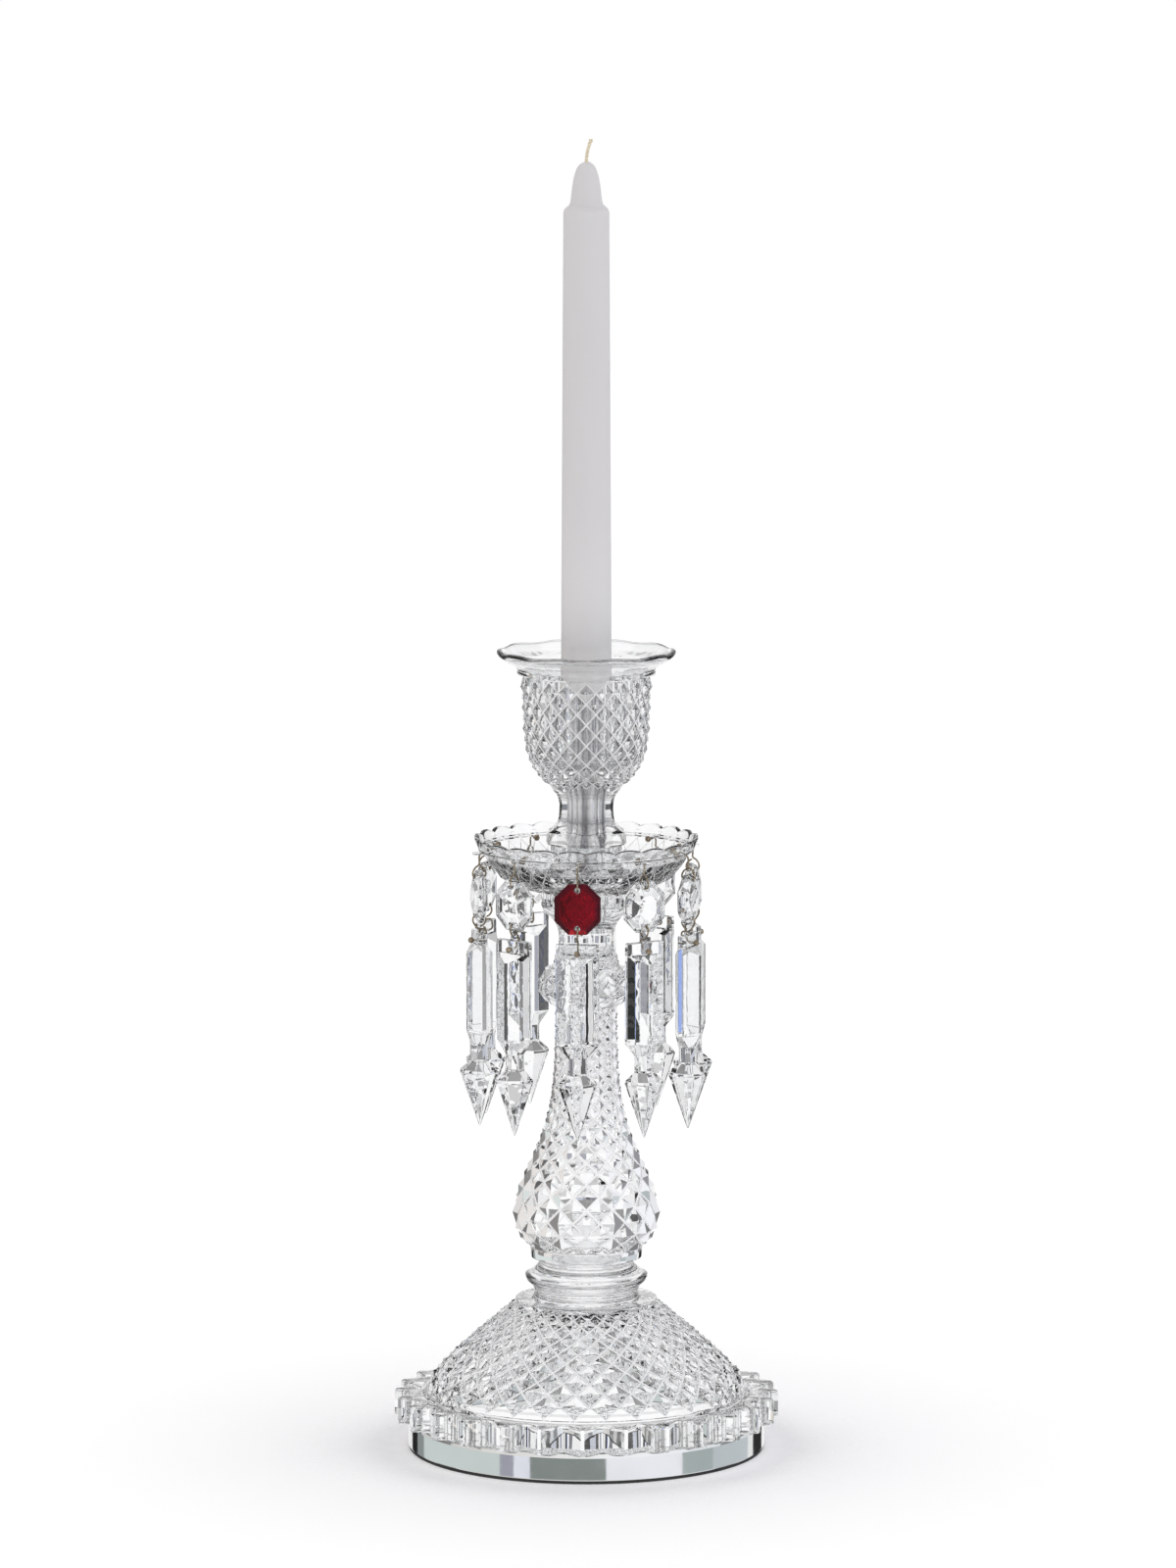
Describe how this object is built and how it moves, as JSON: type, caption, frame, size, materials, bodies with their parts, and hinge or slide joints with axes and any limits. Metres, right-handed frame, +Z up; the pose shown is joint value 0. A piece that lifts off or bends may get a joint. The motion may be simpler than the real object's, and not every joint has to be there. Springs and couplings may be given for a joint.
{
  "type": "candlestick",
  "caption": "Cut-glass candlestick: domed foot on a metal ring, diamond-cut stem, drip pan hung with spear prisms, tulip cup with a metal socket, and a tapered candle.",
  "frame": {"origin": "centre of the foot on the surface it stands on", "axes": "+Z up along the stem and candle, -Y towards the red octagon at the front"},
  "size_m": [0.18, 0.18, 0.6126],
  "materials": {
    "crystal": "clear lead glass, wheel-cut and polished",
    "red_crystal": "red lead glass, wheel-cut and polished",
    "nickel": "mirror-polished",
    "satin_metal": "satin, turned",
    "wire": "aged, dull",
    "wax": "smooth candle wax",
    "wick": "braided cotton",
    "rubber": "thin black rubber"
  },
  "bodies": {
    "stand": {"plinth_pad": "rubber", "plinth_ring": "nickel", "foot": "crystal", "base_knop": "crystal", "baluster": "crystal", "upper_knop": "crystal", "receiver": "crystal", "ferrule": "satin_metal"},
    "drip_pan": {"bobeche": "crystal", "hook_01": "wire", "hook_02": "wire", "hook_03": "wire", "hook_04": "wire", "hook_05": "wire", "hook_06": "wire", "hook_07": "wire", "hook_08": "wire", "hook_09": "wire", "hook_10": "wire"},
    "cup": {"candle_cup": "crystal", "candle_socket": "satin_metal", "socket_shank": "satin_metal", "shank_nut": "satin_metal"},
    "candle_and_wick": {"candle": "wax", "wick": "wick"},
    "drop_01": {"octagon_01": "red_crystal"},
    "spear_01": {"link_01": "wire", "prism_01": "crystal"},
    "drop_02": {"octagon_02": "crystal"},
    "spear_02": {"link_02": "wire", "prism_02": "crystal"},
    "drop_03": {"octagon_03": "crystal"},
    "spear_03": {"link_03": "wire", "prism_03": "crystal"},
    "drop_04": {"octagon_04": "crystal"},
    "spear_04": {"link_04": "wire", "prism_04": "crystal"},
    "drop_05": {"octagon_05": "crystal"},
    "spear_05": {"link_05": "wire", "prism_05": "crystal"},
    "drop_06": {"octagon_06": "crystal"},
    "spear_06": {"link_06": "wire", "prism_06": "crystal"},
    "drop_07": {"octagon_07": "crystal"},
    "spear_07": {"link_07": "wire", "prism_07": "crystal"},
    "drop_08": {"octagon_08": "crystal"},
    "spear_08": {"link_08": "wire", "prism_08": "crystal"},
    "drop_09": {"octagon_09": "crystal"},
    "spear_09": {"link_09": "wire", "prism_09": "crystal"},
    "drop_10": {"octagon_10": "crystal"},
    "spear_10": {"link_10": "wire", "prism_10": "crystal"}
  },
  "joints": [
    {"name": "pan_lift", "type": "slide", "parent": "stand", "child": "drip_pan", "axis": [0, 0, 1], "range_m": [0, 0.03]},
    {"name": "cup_lift", "type": "slide", "parent": "drip_pan", "child": "cup", "axis": [0, 0, 1], "range_m": [0, 0.05]},
    {"name": "candle_lift", "type": "slide", "parent": "cup", "child": "candle_and_wick", "axis": [0, 0, 1], "range_m": [0, 0.04]},
    {"name": "octagon_swing_01", "type": "hinge", "parent": "drip_pan", "child": "drop_01", "pos_m": [-0.00401, -0.0509, 0.2711], "axis": [-0.9969, 0.0785, 0], "range_deg": [-5, 18]},
    {"name": "prism_swing_01", "type": "hinge", "parent": "drop_01", "child": "spear_01", "pos_m": [-0.00401, -0.0509, 0.2535], "axis": [-0.9969, 0.0785, 0], "range_deg": [-5, 18]},
    {"name": "octagon_swing_02", "type": "hinge", "parent": "drip_pan", "child": "drop_02", "pos_m": [0.02668, -0.04353, 0.2711], "axis": [-0.8526, -0.5225, 0], "range_deg": [-5, 18]},
    {"name": "prism_swing_02", "type": "hinge", "parent": "drop_02", "child": "spear_02", "pos_m": [0.02668, -0.04353, 0.2535], "axis": [-0.8526, -0.5225, 0], "range_deg": [-5, 18]},
    {"name": "octagon_swing_03", "type": "hinge", "parent": "drip_pan", "child": "drop_03", "pos_m": [0.04717, -0.01954, 0.2711], "axis": [-0.3827, -0.9239, 0], "range_deg": [-5, 18]},
    {"name": "prism_swing_03", "type": "hinge", "parent": "drop_03", "child": "spear_03", "pos_m": [0.04717, -0.01954, 0.2535], "axis": [-0.3827, -0.9239, 0], "range_deg": [-5, 18]},
    {"name": "octagon_swing_04", "type": "hinge", "parent": "drip_pan", "child": "drop_04", "pos_m": [0.04964, 0.01192, 0.2711], "axis": [0.2334, -0.9724, 0], "range_deg": [-5, 18]},
    {"name": "prism_swing_04", "type": "hinge", "parent": "drop_04", "child": "spear_04", "pos_m": [0.04964, 0.01192, 0.2535], "axis": [0.2334, -0.9724, 0], "range_deg": [-5, 18]},
    {"name": "octagon_swing_05", "type": "hinge", "parent": "drip_pan", "child": "drop_05", "pos_m": [0.03316, 0.03882, 0.2711], "axis": [0.7604, -0.6494, 0], "range_deg": [-5, 18]},
    {"name": "prism_swing_05", "type": "hinge", "parent": "drop_05", "child": "spear_05", "pos_m": [0.03316, 0.03882, 0.2535], "axis": [0.7604, -0.6494, 0], "range_deg": [-5, 18]},
    {"name": "octagon_swing_06", "type": "hinge", "parent": "drip_pan", "child": "drop_06", "pos_m": [0.00401, 0.0509, 0.2711], "axis": [0.9969, -0.0785, 0], "range_deg": [-5, 18]},
    {"name": "prism_swing_06", "type": "hinge", "parent": "drop_06", "child": "spear_06", "pos_m": [0.00401, 0.0509, 0.2535], "axis": [0.9969, -0.0785, 0], "range_deg": [-5, 18]},
    {"name": "octagon_swing_07", "type": "hinge", "parent": "drip_pan", "child": "drop_07", "pos_m": [-0.02668, 0.04353, 0.2711], "axis": [0.8526, 0.5225, 0], "range_deg": [-5, 18]},
    {"name": "prism_swing_07", "type": "hinge", "parent": "drop_07", "child": "spear_07", "pos_m": [-0.02668, 0.04353, 0.2535], "axis": [0.8526, 0.5225, 0], "range_deg": [-5, 18]},
    {"name": "octagon_swing_08", "type": "hinge", "parent": "drip_pan", "child": "drop_08", "pos_m": [-0.04717, 0.01954, 0.2711], "axis": [0.3827, 0.9239, 0], "range_deg": [-5, 18]},
    {"name": "prism_swing_08", "type": "hinge", "parent": "drop_08", "child": "spear_08", "pos_m": [-0.04717, 0.01954, 0.2535], "axis": [0.3827, 0.9239, 0], "range_deg": [-5, 18]},
    {"name": "octagon_swing_09", "type": "hinge", "parent": "drip_pan", "child": "drop_09", "pos_m": [-0.04964, -0.01192, 0.2711], "axis": [-0.2334, 0.9724, 0], "range_deg": [-5, 18]},
    {"name": "prism_swing_09", "type": "hinge", "parent": "drop_09", "child": "spear_09", "pos_m": [-0.04964, -0.01192, 0.2535], "axis": [-0.2334, 0.9724, 0], "range_deg": [-5, 18]},
    {"name": "octagon_swing_10", "type": "hinge", "parent": "drip_pan", "child": "drop_10", "pos_m": [-0.03316, -0.03882, 0.2711], "axis": [-0.7604, 0.6494, 0], "range_deg": [-5, 18]},
    {"name": "prism_swing_10", "type": "hinge", "parent": "drop_10", "child": "spear_10", "pos_m": [-0.03316, -0.03882, 0.2535], "axis": [-0.7604, 0.6494, 0], "range_deg": [-5, 18]}
  ]
}
